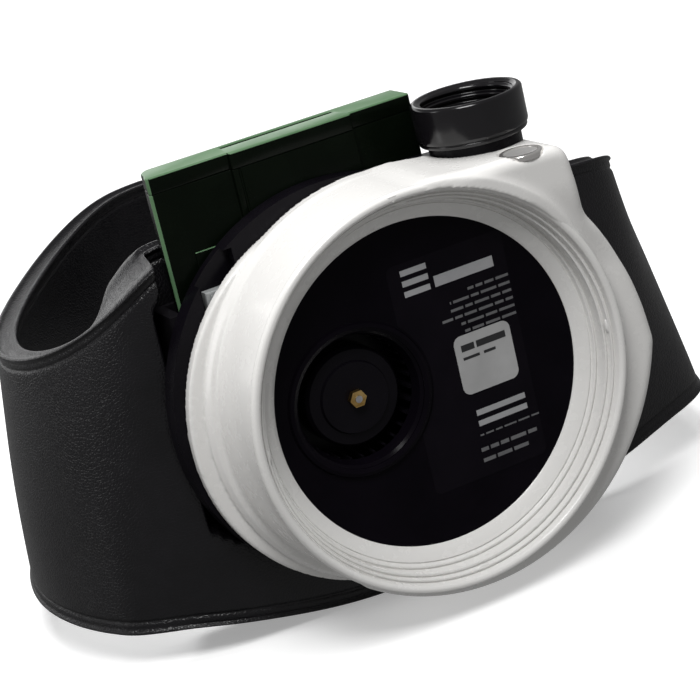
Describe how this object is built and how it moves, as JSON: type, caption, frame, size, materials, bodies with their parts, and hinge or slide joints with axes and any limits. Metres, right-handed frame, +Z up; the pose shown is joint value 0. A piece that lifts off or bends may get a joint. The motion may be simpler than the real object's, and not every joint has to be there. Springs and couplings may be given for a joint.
{
  "type": "powered air respirator",
  "caption": "Belt-worn powered air respirator blower with an open round filter cup, threaded hose outlet, slide-out battery and padded waist belt.",
  "frame": {"origin": "centre of the waist opening inside the belt, the point that sits on the wearer's axis at the belt's mid height", "axes": "+Z up along the wearer, -Y towards the open filter cup at the front of the unit, +X to the right as seen facing the cup"},
  "size_m": [0.3209, 0.2997, 0.202],
  "materials": {
    "white_shell": "glossy white moulded plastic",
    "black_shell": "glossy black moulded plastic",
    "black_gloss": "polished black plastic",
    "collar_black": "glossy black threaded collar",
    "seal_rubber": "soft black seal rubber",
    "screw_steel": "zinc plated screws",
    "clear_label": "clear self-adhesive film",
    "silver_label": "satin silver film",
    "inner_plastic": "black moulded plastic",
    "fan_plastic": "black glass-filled nylon",
    "brass_nut": "turned brass",
    "shaft_steel": "ground steel",
    "motor_can": "plated steel can",
    "bearing_steel": "polished bearing steel",
    "bracket_alu": "stamped sheet",
    "board_green": "glass-fibre circuit board",
    "board_parts": "epoxy component bodies",
    "chrome_bezel": "polished chrome ring",
    "button_gloss": "dark glossy cap",
    "spring_steel": "spring wire",
    "battery_green": "very dark green glossy plastic, lighter on its edges",
    "cell_can": "cylindrical cells",
    "contact_brass": "plated spring contacts",
    "dock_plastic": "black moulded plastic",
    "rivet_plastic": "black rivet heads",
    "latch_grey": "light grey thumb tab",
    "belt_skin": "satin black leather-like skin over foam",
    "webbing": "woven black webbing",
    "buckle_plastic": "black acetal"
  },
  "bodies": {
    "blower": {"front_housing": "white_shell", "rear_housing": "black_shell", "inlet_plate": "black_gloss", "outlet_neck": "black_gloss", "hose_collar": "collar_black", "plate_seal": "seal_rubber", "outlet_seal": "seal_rubber", "housing_screws": "screw_steel", "notice_label": "clear_label", "serial_label": "silver_label", "fan_scroll": "inner_plastic", "motor_body": "motor_can", "motor_bearings": "bearing_steel", "motor_bracket": "bracket_alu", "control_board": "board_green", "board_parts": "board_parts", "alarm_buzzer": "inner_plastic", "button_bezel": "chrome_bezel", "button_spring": "spring_steel", "button_switch": "inner_plastic", "dock_contacts": "contact_brass", "battery_dock": "dock_plastic", "belt_rivets": "rivet_plastic", "latch_spring": "spring_steel", "belt_pad": "belt_skin", "belt_bolster": "belt_skin", "strap_left": "webbing", "strap_right": "webbing", "buckle_plug": "buckle_plastic", "buckle_socket": "buckle_plastic"},
    "rotor": {"impeller": "fan_plastic", "hub_nut": "brass_nut", "motor_shaft": "shaft_steel"},
    "power_button": {"power_button": "button_gloss"},
    "battery": {"battery_case": "battery_green", "battery_lid": "battery_green", "battery_cells": "cell_can", "battery_board": "board_green", "battery_contacts": "contact_brass"},
    "battery_latch": {"battery_latch": "latch_grey"},
    "prong_upper": {"buckle_prong_upper": "buckle_plastic"},
    "prong_lower": {"buckle_prong_lower": "buckle_plastic"}
  },
  "joints": [
    {"name": "rotor_spin", "type": "hinge", "parent": "blower", "child": "rotor", "pos_m": [-0.047, -0.142, 0.0184], "axis": [0, 1, 0], "continuous": true},
    {"name": "power_button_press", "type": "slide", "parent": "blower", "child": "power_button", "axis": [0, 0, -1], "range_m": [0, 0.0015], "stiffness_N_per_m": 1500, "springref_m": -0.0007, "deforming": ["button_spring"]},
    {"name": "battery_slide", "type": "slide", "parent": "blower", "child": "battery", "axis": [0, 0, 1], "range_m": [0, 0.1]},
    {"name": "battery_latch_press", "type": "slide", "parent": "blower", "child": "battery_latch", "axis": [0, 0, -1], "range_m": [0, 0.003], "stiffness_N_per_m": 600, "springref_m": -0.001, "deforming": ["latch_spring"]},
    {"name": "prong_upper_squeeze", "type": "hinge", "parent": "blower", "child": "prong_upper", "pos_m": [0.0002, 0.1131, 0.0245], "axis": [0, 1, 0], "range_deg": [0, 5], "stiffness_Nm_per_rad": 0.4, "springref_deg": -1.15},
    {"name": "prong_lower_squeeze", "type": "hinge", "parent": "blower", "child": "prong_lower", "pos_m": [0.0002, 0.1131, -0.0145], "axis": [0, -1, 0], "range_deg": [0, 5], "stiffness_Nm_per_rad": 0.4, "springref_deg": -1.15}
  ]
}
